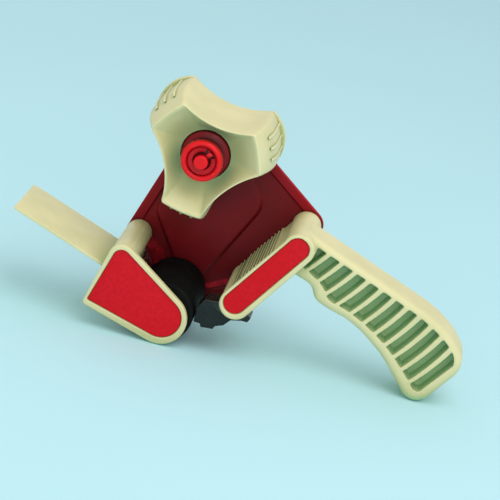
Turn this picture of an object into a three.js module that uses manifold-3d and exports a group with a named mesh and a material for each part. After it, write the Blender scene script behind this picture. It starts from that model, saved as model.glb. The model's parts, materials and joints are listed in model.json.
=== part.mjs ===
// A hand-held dispenser for packing tape on a 76 mm core. Its tape run is 45 mm wide.
//
// Every outline is drawn in side view: x runs towards the handle and y runs up, both from the hub's
// axis, and z is the height over the side plate's inner face, towards the open side where the roll
// is loaded. The last lines turn the side view upright, with +X towards the handle, -Y towards the
// open side and +Z up, and stand the dispenser on its roller and the corner of its grip.

import * as THREE from 'three';
import { mergeVertices } from 'three/addons/utils/BufferGeometryUtils.js';
import Module from 'manifold-3d';

const wasm = await Module();
wasm.setup();

// ---- Driving dimensions, in millimetres and degrees -------------------------------------------

const GAP = 0.3;                  // clearance between pieces that touch
const TAPE_INNER = 2;             // heights between which the tape runs
const TAPE_OUTER = 47;
const ARC_STEPS = 28;             // points round a full circle of an outline
const TURN_STEPS = 32;            // sides of a turned piece

// Centres in side view
const TUBE = [-29.9, -63.0];
const ROLLER = [-3.4, -88.3];
const BAR_TOP = [59.7, -35.1];
const BAR_FOOT = [33.6, -73.2];

const PLATE_THICKNESS = 1.6;
const PLATE_BORDER_WIDTH = 5.5;
const PLATE_BORDER_RISE = 1.0;
const PLATE_DISH_RISE = 1.5;
const PLATE_CIRCLES = [[1.2, 0, 15.9], [...TUBE, 7.5], [...ROLLER, 12], [...BAR_FOOT, 9], [...BAR_TOP, 9]];
const HEAD_GAP = PLATE_THICKNESS + GAP;   // from the inner face to under a head behind the plate
const DISH_CIRCLES = [[0, -2, 13], [20.3, -31.5, 13.2], [3, -76, 8.5], [-14, -47, 9.5]];

const HUB_FAR = 3.5;              // the hub's back edge
const HUB_NEAR = 50;              // the hub's open face
const HUB_MOUTH = 37;             // the floor of its dish
const HUB_MOUTH_RADIUS = 13.5;
const HUB_WEB = [18, 21];         // the disc that runs on the axle
const HUB_FLANGE_TOP = 7;
const HUB_LOBES = [20, 140, 260];
const HUB_LOBE_HALF = 20.5;       // degrees from a lobe's middle to its corner
const HUB_CEILING = 34;
// Height, reach of the lobes' tips, radius at the waists, and how round the lobes' ends are
const HUB_OUTER = [[HUB_FAR, 36.8, 22.3, 1], [30, 36.6, 21.4, 0.9], [38, 35.4, 21.0, 0.7],
  [45, 33.3, 20.6, 0.5], [HUB_NEAR, 31.5, 20.3, 0.4]];
const HUB_HOLLOW = [[HUB_FAR - 1, 34.7, 20.2, 1], [24, 34.5, 19.5, 1], [HUB_CEILING, 32.5, 19.1, 0.8]];
const HUB_HOLLOW_HALF = 17.9;
const HUB_RIM = [30.6, 19.5, 0.4];        // the inner edge of the open face
const HUB_TUBE_RADIUS = 15.4;             // the tube round the brake, inside the hollow
// Radius and height
const CORE_RIB = [[35.5, 6.5], [37.7, 6.5], [37.6, 26], [36.9, 34], [35.4, 38.5], [34.5, 36]];
const CORE_RIB_THICKNESS = 1.3;
const CORE_RIB_ANGLES = [-9.5, 0, 9.5];

const AXLE_RADIUS = 4;
const AXLE_END = 44.2;
const KNOB_BASE = 41.1;           // the knob's inner end
const SPRING_RADIUS = 8.4;
const SPRING_WIRE = 0.7;
const SPRING_TURNS = 4.5;
const SPRING_ENDS = [23.0, 35.6];
// Radius and rise over the knob's inner end
const KNOB_PROFILE = [[6.8, 0], [10.2, 0], [10.5, 3.9], [11.2, 6.8], [11.2, 9.1], [10.7, 10.3], [9.6, 10.9],
  [8.5, 10.6], [7.8, 9.9], [7.5, 8.8], [4.6, 8.8], [4.6, 7.5], [6.8, 7.5]];
const PLUG_PROFILE = [[0, 6], [6.3, 6], [6.3, 7.1], [3.8, 7.1], [3.8, 12.9], [3.3, 13.4], [0, 13.4]];
const KEY_ANGLE = 52;                     // where the plug's key lies, between two notches
const KEY_NOTCHES = [KEY_ANGLE - 22, KEY_ANGLE + 22];

const ROLLER_RADIUS = 17;
const ROLLER_CORE_RADIUS = 12;
const ROLLER_AXLE_RADIUS = 3;
const ROLLER_ENDS = [1.9, 47.4];

const CHEEK_INNER = 48.3;
const CHEEK_OUTER = 52.3;
const CHEEK_CIRCLES = [[...TUBE, 7.7], [-43.5, -91.3, 2.3], [-3.2, -90.4, 14.6]];
const CHEEK_LABEL_CIRCLES = [[...TUBE, 4.9], [-42.4, -89.3, 1], [-3, -89.6, 11.3]];
const TUBE_RADIUS = 7.3;
const LABEL_DEPTH = 2;
const LABEL_THICKNESS = 0.9;
const AXLE_SEAT = 49.4;                   // the floor of the roller axle's blind seat in the cheek

const FLAP_ROOT = [-41.2, -70.2];         // where the flap comes out of the cheek
const FLAP_SLOPE = -19.7;
const FLAP_LENGTH = 55;
const FLAP_THICKNESS = 1.6;
const FLAP_BEAD = 10;                     // from the root to the bead it turns on
const FLAP_BEAD_RADIUS = 1.7;

const BLADE_PLANE = -24.2;                // x of the blade's front
const BLADE_THICKNESS = 0.8;
const BLADE_TOP = -72.5;
const BLADE_TIP = -98;
const BLADE_TEETH = 18;
const BLADE_TOOTH = 2.2;
const BLADE_SCREWS = [12, 37];
const BLADE_SCREW_Y = -77.5;
const BLADE_SCREW_LENGTH = 7;
const CLAMP_THICKNESS = 1.5;
const CLAMP_NEAR = BLADE_PLANE + BLADE_THICKNESS + GAP;
const CLAMP_FAR = CLAMP_NEAR + CLAMP_THICKNESS;

const BAR_RADIUS = 7.75;
const BAR_ENDS = [1.3, 47];
const BAR_FLANGE = 3.5;
const BAR_FLANGE_CIRCLES = [[60.2, -35.6, 8.4], [34, -74, 8.6]];
const BAR_LABEL_RADIUS = 6;
const RIDGES = 14;
const RIDGE_PITCH = 2.6;
const RIDGE_HEIGHT = 0.9;

const GRIP_ENDS = [14, 39];
const GRIP_EDGE = 4;                      // rounding of the grip's long edges
const GRIP_WEB = [25, 28];
const RIB_SLOPE = 54.2;
const RIB_PITCH = 8.25;
const RIB_THICKNESS = 3;
const RIB_FIRST = 80.9;                   // the first rib's near side, measured across the ribs
const RIBS = 11;
const PALM = [[94.2, -39.4], [123.3, -50.6], [137.4, -56.4], [150, -64.8], [157.9, -74], [159.2, -80],
  [157.4, -85.6]];
const GRIP_HEEL = [146.2, -101.6];
const GRIP_CORNER = [139.5, -108.5];
const GRIP_TOE = [132.2, -102.6];
const FINGERS = [[118.3, -86.8], [109.1, -79.1], [100.4, -73.2], [92.3, -69.4], [83, -66.8], [74.8, -63.2],
  [70.2, -56.2], [61, -52.6]];
const POCKET_PALM = [[92.8, -42.7], [121.9, -53.9], [133.3, -58.7], [146, -66.3], [153.2, -73.2],
  [155.1, -79.2]];
const POCKET_FINGERS = [[130.4, -90.4], [117.6, -78.4], [104.1, -69.6], [92.6, -64.2], [82, -60.8],
  [76.6, -54.2], [66, -47.2]];
const RETAINER = [[14.6, -80.9], [17.6, -75.6], [26.2, -75], [36.2, -75], [41.2, -77.6], [43.9, -79.7],
  [42.6, -82.4], [39.5, -82.3], [33.6, -83.6], [30.5, -87.4], [26, -89.2], [25.4, -91], [18.4, -91.6],
  [18, -89.8], [14.2, -89.6]];
const RETAINER_ENDS = [34, 45.8];

const SCREW_RADIUS = 1.9;
const SCREW_HEAD_RADIUS = 3.8;
const SCREW_LENGTH = 14;

// ---- Materials --------------------------------------------------------------------------------

const finish = (color, roughness, metalness = 0) =>
  new THREE.MeshStandardMaterial({ color, roughness, metalness });
const CREAM = finish(0xdcd6a8, 0.45);
const RED_PAINT = finish(0x6b1519, 0.35, 0.2);
const RED_GLOSS = finish(0xc81e2a, 0.3);
const RED_LABEL = finish(0xd01c28, 0.4);
const RUBBER = finish(0x0e1110, 0.7);
const BLACK = finish(0x121614, 0.4);
const STEEL = finish(0x9aa0a4, 0.3, 1);
const BRASS = finish(0xb08d48, 0.3, 1);
const FIBRE = finish(0x5b3a26, 0.9);

// ---- Solids -----------------------------------------------------------------------------------

function solid(geometry) {
  const bare = geometry.clone();
  bare.deleteAttribute('normal');
  bare.deleteAttribute('uv');
  const merged = mergeVertices(bare, 1e-4);
  const vertProperties = Float32Array.from(merged.attributes.position.array);
  const triVerts = Uint32Array.from(merged.index.array);
  if (signedVolume(vertProperties, triVerts) < 0) {
    for (let i = 0; i < triVerts.length; i += 3) {
      [triVerts[i], triVerts[i + 1]] = [triVerts[i + 1], triVerts[i]];
    }
  }
  return new wasm.Manifold(new wasm.Mesh({ numProp: 3, vertProperties, triVerts }));
}

function signedVolume(position, index) {
  const corner = (i) => new THREE.Vector3().fromArray(position, 3 * index[i]);
  let volume = 0;
  for (let i = 0; i < index.length; i += 3) {
    volume += corner(i).dot(corner(i + 1).cross(corner(i + 2))) / 6;
  }
  return volume;
}

const join = (...solids) => solids.reduce((all, one) => all.add(one));
const cut = (body, ...tools) => tools.reduce((rest, tool) => rest.subtract(tool), body);

function geometryOf(body) {
  const mesh = body.getMesh();
  const geometry = new THREE.BufferGeometry();
  geometry.setAttribute('position', new THREE.BufferAttribute(mesh.vertProperties, 3));
  geometry.setIndex(new THREE.BufferAttribute(mesh.triVerts, 1));
  geometry.computeVertexNormals();
  return geometry;
}

// A prism over an outline between two heights, its ends rounded by edge, then turned about the hub's axis
function prism(outline, low, high, edge = 0, turn = 0) {
  const shape = outline instanceof THREE.Shape ? outline : new THREE.Shape(outline);
  const depth = high - low - 2 * edge;
  const bevelEnabled = edge > 0;
  const bevel = { bevelEnabled, bevelSize: edge, bevelOffset: -edge, bevelThickness: edge, bevelSegments: 2 };
  const geometry = new THREE.ExtrudeGeometry(shape, { depth, curveSegments: 4, ...bevel });
  return solid(geometry.translate(0, 0, low + edge).rotateZ(THREE.MathUtils.degToRad(turn)));
}

// A turned piece about an axis along z: the profile is a closed list of [radius, height]
function turned(profile, [x, y] = [0, 0], steps = TURN_STEPS) {
  const points = profile.map(([radius, height]) => new THREE.Vector2(radius, height));
  const geometry = new THREE.LatheGeometry([...points, points[0]], steps);
  return solid(geometry.rotateX(Math.PI / 2).translate(x, y, 0));
}

const rod = (centre, radius, low, high, steps) =>
  turned([[0, low], [radius, low], [radius, high], [0, high]], centre, steps);

const ring = (centre, inner, outer, low, high) =>
  turned([[inner, low], [outer, low], [outer, high], [inner, high]], centre);

// A plain block between two opposite corners, then turned about the hub's axis
function block([x0, y0, z0], [x1, y1, z1], turn = 0) {
  const geometry = new THREE.BoxGeometry(x1 - x0, y1 - y0, z1 - z0);
  geometry.translate((x0 + x1) / 2, (y0 + y1) / 2, (z0 + z1) / 2);
  return solid(geometry.rotateZ(THREE.MathUtils.degToRad(turn)));
}

// The convex outline drawn tight round circles given as [x, y, radius]
function roundHull(circles) {
  const points = [];
  for (const [x, y, radius] of circles) {
    for (let i = 0; i < ARC_STEPS; i++) {
      const angle = 2 * Math.PI * i / ARC_STEPS;
      points.push(new THREE.Vector2(x + radius * Math.cos(angle), y + radius * Math.sin(angle)));
    }
  }
  points.sort((a, b) => a.x - b.x || a.y - b.y);
  const chain = (list) => {
    const hull = [];
    for (const p of list) {
      while (hull.length > 1 && turnOf(hull.at(-2), hull.at(-1), p) <= 1e-6) hull.pop();
      hull.push(p);
    }
    return hull.slice(0, -1);
  };
  return [...chain(points), ...chain(points.slice().reverse())];
}

const turnOf = (a, b, c) => (b.x - a.x) * (c.y - a.y) - (b.y - a.y) * (c.x - a.x);

const shrink = (circles, amount) => circles.map(([x, y, radius]) => [x, y, radius - amount]);

// A body through sections, each a height and a ring of points that all see the axis
function loft(sections) {
  const count = sections[0].points.length;
  const position = [];
  const index = [];
  for (const { height, points } of sections) {
    for (const p of points) position.push(p.x, p.y, height);
  }
  for (let layer = 0; layer + 1 < sections.length; layer++) {
    for (let i = 0; i < count; i++) {
      const a = layer * count + i;
      const b = layer * count + (i + 1) % count;
      index.push(a, b, b + count, a, b + count, a + count);
    }
  }
  const low = position.length / 3;
  position.push(0, 0, sections[0].height, 0, 0, sections.at(-1).height);
  const last = (sections.length - 1) * count;
  for (let i = 0; i < count; i++) {
    const next = (i + 1) % count;
    index.push(low, next, i, low + 1, last + i, last + next);
  }
  const geometry = new THREE.BufferGeometry();
  geometry.setAttribute('position', new THREE.Float32BufferAttribute(position, 3));
  geometry.setIndex(index);
  return solid(geometry);
}

const dispenser = new THREE.Group();

function add(name, body, material) {
  const mesh = new THREE.Mesh(geometryOf(body), material.clone());
  mesh.name = name;
  dispenser.add(mesh);
}

// ---- Side plate -------------------------------------------------------------------------------

function sidePlate() {
  const sheet = prism(roundHull(PLATE_CIRCLES), -PLATE_THICKNESS, 0);
  const inside = roundHull(shrink(PLATE_CIRCLES, PLATE_BORDER_WIDTH));
  const border = cut(prism(roundHull(PLATE_CIRCLES), -0.2, PLATE_BORDER_RISE), prism(inside, -1, 3));
  const dish = prism(roundHull(DISH_CIRCLES), -1, PLATE_DISH_RISE, 0.7);
  const holes = [
    rod(ROLLER, 7.2, 0, 4),
    rod([0, 0], AXLE_RADIUS + GAP, -3, 4),
    rod(ROLLER, ROLLER_AXLE_RADIUS + GAP, -3, 4),
    ...[TUBE, BAR_TOP, BAR_FOOT].map((centre) => rod(centre, SCREW_RADIUS + GAP, -3, 4, 24)),
  ];
  return cut(join(sheet, border, dish), ...holes);
}

// ---- Hub --------------------------------------------------------------------------------------

// One section: lobes end on an arc of radius tip, flattened towards their chord as bulge falls to 0,
// and the sides between them curve in to the radius waist
function lobedRing(tip, waist, bulge, half = HUB_LOBE_HALF) {
  const points = [];
  const beta = THREE.MathUtils.degToRad(half);
  const side = Math.PI / 3 - beta;
  const reach = tip * Math.cos(side);
  const span = tip * Math.sin(side);
  const curve = (span ** 2 + (reach - waist) ** 2) / (2 * (reach - waist));
  const sweep = Math.asin(span / curve);
  for (const lobe of HUB_LOBES) {
    const middle = THREE.MathUtils.degToRad(lobe);
    for (let i = 0; i <= 8; i++) {
      const angle = beta * (i / 4 - 1);
      const radius = THREE.MathUtils.lerp(tip * Math.cos(beta) / Math.cos(angle), tip, bulge);
      points.push(polar(radius, middle + angle));
    }
    for (let i = 1; i < 10; i++) {
      const t = sweep * (i / 5 - 1);
      const x = waist + curve * (1 - Math.cos(t));
      const y = curve * Math.sin(t);
      points.push(polar(Math.hypot(x, y), middle + Math.PI / 3 + Math.atan2(y, x)));
    }
  }
  return points;
}

const hubSection = ([height, ...ring], half) => ({ height, points: lobedRing(...ring, half) });

const polar = (radius, angle) => new THREE.Vector2(radius * Math.cos(angle), radius * Math.sin(angle));

function coreHub() {
  const outer = loft(HUB_OUTER.map((section) => hubSection(section)));
  const dish = [];
  for (let i = 0; i <= 5; i++) {
    const share = i / 5;
    const points = lobedRing(...HUB_RIM);
    points.forEach((p) => p.setLength(THREE.MathUtils.lerp(HUB_MOUTH_RADIUS, p.length(), share)));
    dish.push({ height: THREE.MathUtils.lerp(HUB_MOUTH, HUB_NEAR, share ** 1.25), points });
  }
  dish.push({ height: HUB_NEAR + 1, points: dish.at(-1).points });
  const hollow = loft(HUB_HOLLOW.map((section) => hubSection(section, HUB_HOLLOW_HALF)));
  const tube = rod([0, 0], HUB_TUBE_RADIUS, 0, HUB_CEILING + 1);
  const bores = [
    rod([0, 0], HUB_MOUTH_RADIUS, HUB_FAR - 1, HUB_WEB[0]),
    rod([0, 0], HUB_MOUTH_RADIUS, HUB_WEB[1], HUB_MOUTH + 0.5),
    rod([0, 0], AXLE_RADIUS + 0.2, HUB_WEB[0] - 1, HUB_WEB[1] + 1),
  ];
  let hub = cut(outer, loft(dish), cut(hollow, tube), ...bores);
  for (const lobe of HUB_LOBES) {
    const ribs = CORE_RIB_ANGLES.map((angle) => coreRib(lobe + angle));
    hub = join(hub, ...ribs, coreStop(lobe), waistRib(lobe + 60));
  }
  return hub;
}

// A rib along a lobe's end that grips the tape's core, proudest next to the core stop
function coreRib(angle) {
  const shape = new THREE.Shape(CORE_RIB.map(([radius, height]) => new THREE.Vector2(radius, height)));
  const geometry = new THREE.ExtrudeGeometry(shape, { depth: CORE_RIB_THICKNESS, bevelEnabled: false });
  geometry.rotateX(Math.PI / 2).translate(0, CORE_RIB_THICKNESS / 2, 0);
  return solid(geometry.rotateZ(THREE.MathUtils.degToRad(angle)));
}

// The low flange behind a lobe that the tape's core stops against
function coreStop(lobe) {
  const [foot, crown, fall, half] = [34.4, 39, 4.2, 12.6];
  const points = [new THREE.Vector2(foot, -12), new THREE.Vector2(foot, 12)];
  for (let i = 0; i <= 10; i++) {
    const share = 1 - i / 5;
    points.push(new THREE.Vector2(crown - fall * share ** 2, half * share));
  }
  return prism(points, HUB_FAR, HUB_FLANGE_TOP, 0, lobe);
}

// The rib that ties a waist to the tube round the axle
function waistRib(angle) {
  return block([HUB_TUBE_RADIUS - 0.9, -1, HUB_FAR + 1], [21, 1, HUB_CEILING + 0.5], angle);
}

// ---- Axle, brake and knob ---------------------------------------------------------------------

function hexagon(acrossFlats, low, high) {
  const corners = [];
  for (let i = 0; i < 6; i++) corners.push(polar(acrossFlats / Math.sqrt(3), Math.PI * i / 3));
  return prism(corners, low, high);
}

// A round wire wound from one height to the other
function coil(radius, wire, turns, [low, high]) {
  const steps = Math.round(12 * turns);
  const points = [];
  for (let i = 0; i <= steps; i++) {
    const angle = 2 * Math.PI * turns * i / steps;
    const height = low + (high - low) * i / steps;
    points.push(new THREE.Vector3(radius * Math.cos(angle), radius * Math.sin(angle), height));
  }
  const path = new THREE.CatmullRomCurve3(points);
  const section = new THREE.Shape();
  section.absarc(0, 0, wire, 0, 2 * Math.PI);
  const settings = { steps, curveSegments: 3, extrudePath: path, bevelEnabled: false };
  return solid(new THREE.ExtrudeGeometry(section, settings));
}

function addAxle() {
  const top = -HEAD_GAP;
  const head = turned([[0, top - 2.6], [5.2, top - 2.6], [8, top - 0.8], [8, top], [0, top]]);
  const shank = turned([[0, top - 1], [AXLE_RADIUS, top - 1], [AXLE_RADIUS, AXLE_END - 1],
    [AXLE_RADIUS - 1, AXLE_END], [0, AXLE_END]]);
  add('hub_axle', join(head, shank), STEEL);
  const bore = (low, high) => rod([0, 0], AXLE_RADIUS + 0.2, low, high, 32);
  add('axle_nut', cut(hexagon(13, PLATE_DISH_RISE + GAP, 8), bore(0, 9)), STEEL);
  add('axle_spacer', ring([0, 0], AXLE_RADIUS + 0.2, 6.2, 8 + GAP, 15.6), STEEL);
  add('brake_washer', ring([0, 0], AXLE_RADIUS + 0.2, 11.5, 15.9, HUB_WEB[0] - GAP), FIBRE);
  add('spring_seat', ring([0, 0], AXLE_RADIUS + 0.2, 11, HUB_WEB[1] + GAP, 22), STEEL);
  add('brake_spring', coil(SPRING_RADIUS, SPRING_WIRE, SPRING_TURNS, SPRING_ENDS), STEEL);
}

function addKnob() {
  const bore = AXLE_RADIUS + 0.4;
  const end = KNOB_BASE - 0.4;
  add('tension_collar', turned([[bore, 33], [6.2, 33], [6.2, 36.6], [10.6, 36.6], [10.6, 33], [13.1, 33],
    [13.1, 37.3], [12.4, 38], [9.2, 38.4], [8.6, end], [bore, end]]), RED_GLOSS);
  const raised = (profile) => turned(profile.map(([radius, rise]) => [radius, KNOB_BASE + rise]));
  const low = KNOB_BASE + 7.4;
  const notches = KEY_NOTCHES.map((angle) => block([3.5, -0.6, low], [7.1, 0.6, low + 2], angle));
  add('tension_knob', cut(raised(KNOB_PROFILE), ...notches), RED_GLOSS);
  const [foot, head] = [KNOB_BASE + 0.4, KNOB_BASE + 5.6];
  const thread = rod([0, 0], AXLE_RADIUS + 0.15, foot - 1, head + 1, 32);
  add('knob_insert', cut(hexagon(11, foot, head), thread), BRASS);
  const key = block([3, -1, KNOB_BASE + 9.1], [6.8, 1, KNOB_BASE + 10], KEY_ANGLE);
  add('knob_plug', join(raised(PLUG_PROFILE), key), RED_GLOSS);
}

// ---- Roller -----------------------------------------------------------------------------------

function addRoller() {
  const [low, high] = ROLLER_ENDS;
  const axle = ROLLER_AXLE_RADIUS;
  const head = rod(ROLLER, 5.5, -HEAD_GAP - 1.6, -HEAD_GAP, 32);
  add('roller_axle', join(head, rod(ROLLER, axle, -HEAD_GAP - 0.5, AXLE_SEAT - GAP, 32)), STEEL);
  add('roller_washer', ring(ROLLER, axle + 0.2, 6.5, 0.3, 1.5), STEEL);
  const [bore, core] = [axle + 0.15, ROLLER_CORE_RADIUS];
  add('roller_core', turned([[bore, low], [7, low], [7, low + 2], [core - 0.5, low + 2], [core, low + 0.5],
    [core, high - 0.5], [core - 0.5, high - 2], [7, high - 2], [7, high], [bore, high]], ROLLER), BLACK);
  const [inner, outer] = [ROLLER_CORE_RADIUS + GAP, ROLLER_RADIUS];
  add('roller_tyre', turned([[inner, low], [outer - 1, low], [outer, low + 1], [outer, high - 1],
    [outer - 1, high], [inner, high]], ROLLER, 40), RUBBER);
}

// ---- Nose: cheek, cross tube, flap and blade ---------------------------------------------------

const flapTurn = THREE.MathUtils.degToRad(FLAP_SLOPE);

// A point at a distance along the flap's line and another square to it
function alongFlap(along, above) {
  const root = new THREE.Vector2(...FLAP_ROOT);
  return new THREE.Vector2(along, above).rotateAround(new THREE.Vector2(), flapTurn).add(root);
}

function noseHousing() {
  const cheek = prism(roundHull(CHEEK_CIRCLES), CHEEK_INNER, CHEEK_OUTER, 0.7);
  const labelRoom = roundHull(shrink(CHEEK_LABEL_CIRCLES, -0.25));
  const recess = prism(labelRoom, CHEEK_OUTER - LABEL_DEPTH, CHEEK_OUTER + 1);
  const tube = rod(TUBE, TUBE_RADIUS, BAR_ENDS[0], CHEEK_INNER + 1);
  const edge = BLADE_PLANE - GAP;
  const bedOutline = [alongFlap(4.5, 1.6), alongFlap(4.5, -4), new THREE.Vector2(edge, -82.5),
    new THREE.Vector2(edge, -68), new THREE.Vector2(-29, -63), new THREE.Vector2(-35, -64)];
  const bed = prism(bedOutline, TAPE_INNER, CHEEK_INNER + 1);
  const bead = alongFlap(FLAP_BEAD, 0);
  const socket = rod([bead.x, bead.y], FLAP_BEAD_RADIUS + 0.25, TAPE_INNER - 1, CHEEK_INNER - GAP, 24);
  const mouthOutline = [alongFlap(FLAP_BEAD, 0.9), alongFlap(-2, 3.6), alongFlap(-2, -3.6),
    alongFlap(FLAP_BEAD, -0.9)];
  const mouth = prism(mouthOutline, TAPE_INNER - 1, CHEEK_INNER - GAP);
  const depth = edge - BLADE_SCREW_LENGTH;
  const screwHoles = BLADE_SCREWS.map((height) => crossRod(depth, edge + 1, height, 1.7));
  const axleSeat = rod(ROLLER, ROLLER_AXLE_RADIUS + GAP, CHEEK_INNER - 1, AXLE_SEAT, 32);
  const plateHole = rod(TUBE, SCREW_RADIUS + GAP, 0, SCREW_LENGTH, 24);
  return cut(join(cheek, tube, bed), recess, socket, mouth, axleSeat, plateHole, ...screwHoles);
}

// A rod along x at the blade screws' level
function crossRod(x0, x1, height, radius) {
  const geometry = new THREE.CylinderGeometry(radius, radius, x1 - x0, 20).rotateZ(Math.PI / 2);
  return solid(geometry.translate((x0 + x1) / 2, BLADE_SCREW_Y, height));
}

function wiperFlap() {
  const half = FLAP_THICKNESS / 2;
  const thin = 0.5;
  const taper = 4 - FLAP_LENGTH;
  const outline = [alongFlap(FLAP_BEAD, half), alongFlap(taper, half), alongFlap(-FLAP_LENGTH, thin),
    alongFlap(-FLAP_LENGTH, -thin), alongFlap(taper, -half), alongFlap(FLAP_BEAD, -half)];
  const tongue = prism(outline, TAPE_INNER + 0.5, TAPE_OUTER);
  const bead = alongFlap(FLAP_BEAD, 0);
  return join(tongue, rod([bead.x, bead.y], FLAP_BEAD_RADIUS, TAPE_INNER + 0.5, TAPE_OUTER, 24));
}

// A sheet lying across the flap's width, drawn as height against y and standing on a plane of x
function crossSheet(outline, x0, x1) {
  const points = outline.map(([y, height]) => new THREE.Vector2(y, height));
  const shape = new THREE.Shape(points);
  const geometry = new THREE.ExtrudeGeometry(shape, { depth: x1 - x0, bevelEnabled: false });
  const upright = new THREE.Matrix4().makeBasis(
    new THREE.Vector3(0, 1, 0), new THREE.Vector3(0, 0, 1), new THREE.Vector3(1, 0, 0));
  return solid(geometry.applyMatrix4(upright).translate(x0, 0, 0));
}

function cutterBlade() {
  const low = TAPE_INNER + 0.5;
  const pitch = (TAPE_OUTER - low) / BLADE_TEETH;
  const outline = [[BLADE_TOP, TAPE_OUTER], [BLADE_TOP, low]];
  for (let i = 0; i < BLADE_TEETH; i++) {
    outline.push([BLADE_TIP + BLADE_TOOTH, low + i * pitch], [BLADE_TIP, low + (i + 0.5) * pitch]);
  }
  outline.push([BLADE_TIP + BLADE_TOOTH, TAPE_OUTER]);
  const sheet = crossSheet(outline, BLADE_PLANE, BLADE_PLANE + BLADE_THICKNESS);
  const holes = BLADE_SCREWS.map((height) => crossRod(BLADE_PLANE - 1, BLADE_PLANE + 3, height, 1.7));
  return cut(sheet, ...holes);
}

function bladeClamp() {
  const bar = block([CLAMP_NEAR, -82, TAPE_INNER + 1], [CLAMP_FAR, -73, TAPE_OUTER - 1]);
  const holes = BLADE_SCREWS.map((height) => crossRod(CLAMP_NEAR - 1, CLAMP_FAR + 1, height, 1.7));
  return cut(bar, ...holes);
}

function addNose() {
  add('nose_housing', noseHousing(), CREAM);
  const floor = CHEEK_OUTER - LABEL_DEPTH + 0.25;
  add('nose_label', prism(roundHull(CHEEK_LABEL_CIRCLES), floor, floor + LABEL_THICKNESS), RED_LABEL);
  add('wiper_flap', wiperFlap(), CREAM);
  add('cutter_blade', cutterBlade(), STEEL);
  add('blade_clamp', bladeClamp(), STEEL);
  BLADE_SCREWS.forEach((height, i) => {
    const seat = CLAMP_FAR + GAP;
    const shank = crossRod(seat - BLADE_SCREW_LENGTH, seat + 0.5, height, 1.4);
    const head = crossRod(seat, seat + 1.4, height, 2.8);
    add(`blade_screw_${i + 1}`, join(shank, head), STEEL);
  });
}

// ---- Handle -----------------------------------------------------------------------------------

const barDirection = new THREE.Vector2(BAR_TOP[0] - BAR_FOOT[0], BAR_TOP[1] - BAR_FOOT[1]);
const barAngle = barDirection.angle();

// A point at a distance from the bar's foot and another square to the bar, towards the tape roll
function alongBar(along, out) {
  const foot = new THREE.Vector2(...BAR_FOOT);
  return new THREE.Vector2(along, out).rotateAround(new THREE.Vector2(), barAngle).add(foot);
}

const bar = (radius, low, high) =>
  prism(roundHull([[...BAR_TOP, radius], [...BAR_FOOT, radius]]), low, high);

// Low ridges across the face that the tape passes
function guideRidges() {
  const points = [alongBar(-2, 4), alongBar(RIDGES * RIDGE_PITCH + 2, 4)];
  for (let i = RIDGES; i > 0; i--) {
    const start = i * RIDGE_PITCH;
    const root = BAR_RADIUS - RIDGE_HEIGHT;
    const crown = BAR_RADIUS + 0.6 * Math.sin(Math.PI * (i - 0.5) / RIDGES);
    points.push(alongBar(start, root), alongBar(start - 0.3 * RIDGE_PITCH, crown));
    points.push(alongBar(start - 0.7 * RIDGE_PITCH, crown));
  }
  points.push(alongBar(0, BAR_RADIUS - RIDGE_HEIGHT));
  return prism(points, BAR_ENDS[0], BAR_ENDS[1] - BAR_FLANGE + 0.2);
}

function gripOutline() {
  const grip = new THREE.Shape();
  const spline = (list) => grip.splineThru(list.map(([x, y]) => new THREE.Vector2(x, y)));
  grip.moveTo(62.8, -27.4);
  spline(PALM);
  grip.lineTo(...GRIP_HEEL);
  grip.quadraticCurveTo(...GRIP_CORNER, ...GRIP_TOE);
  spline(FINGERS);
  grip.lineTo(50, -52);
  grip.lineTo(52, -38);
  grip.closePath();
  return grip;
}

function pocketOutline() {
  const pocket = new THREE.Shape();
  const spline = (list) => pocket.splineThru(list.map(([x, y]) => new THREE.Vector2(x, y)));
  pocket.moveTo(60, -30.3);
  spline(POCKET_PALM);
  pocket.lineTo(141.6, -98.2);
  pocket.quadraticCurveTo(139.2, -99.8, 136.9, -97.7);
  spline(POCKET_FINGERS);
  pocket.lineTo(56, -46);
  pocket.closePath();
  return pocket;
}

// The pockets on one side of the grip, down to its middle web
function pockets(low, high) {
  const wall = bar(BAR_RADIUS + 1.8, low - 1, high + 1);
  const ribs = [];
  for (let i = 0; i < RIBS; i++) {
    const start = RIB_FIRST + i * RIB_PITCH;
    ribs.push(block([start, -60, low - 1], [start + RIB_THICKNESS, 60, high + 1], RIB_SLOPE - 90));
  }
  return cut(prism(pocketOutline(), low, high), wall, ...ribs);
}

function handle() {
  const body = join(
    bar(BAR_RADIUS - RIDGE_HEIGHT, BAR_ENDS[0], BAR_ENDS[1] - 1),
    prism(roundHull(BAR_FLANGE_CIRCLES), BAR_ENDS[1] - BAR_FLANGE, BAR_ENDS[1], 0.7),
    rod(BAR_TOP, BAR_RADIUS + 0.3, BAR_ENDS[0], BAR_ENDS[1] - 1),
    rod(BAR_FOOT, BAR_RADIUS, BAR_ENDS[0], BAR_ENDS[1] - 1),
    guideRidges(),
    prism(gripOutline(), ...GRIP_ENDS, GRIP_EDGE),
  );
  const recess = bar(BAR_LABEL_RADIUS + 0.25, BAR_ENDS[1] - LABEL_DEPTH, BAR_ENDS[1] + 1);
  const hole = SCREW_RADIUS + GAP;
  const screwHoles = [BAR_TOP, BAR_FOOT].map((centre) => rod(centre, hole, 0, SCREW_LENGTH, 24));
  const openSide = pockets(GRIP_WEB[1], GRIP_ENDS[1] + 1);
  const plateSide = pockets(GRIP_ENDS[0] - 1, GRIP_WEB[0]);
  return cut(body, recess, openSide, plateSide, ...screwHoles);
}

// The bracket that wraps the bar's foot and keeps the tape against the roller
function tapeRetainer() {
  const points = RETAINER.map(([x, y]) => new THREE.Vector2(x, y));
  const flangeRoom = prism(roundHull(shrink(BAR_FLANGE_CIRCLES, -GAP)), BAR_ENDS[0], CHEEK_OUTER);
  return cut(prism(points, ...RETAINER_ENDS), flangeRoom);
}

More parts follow.
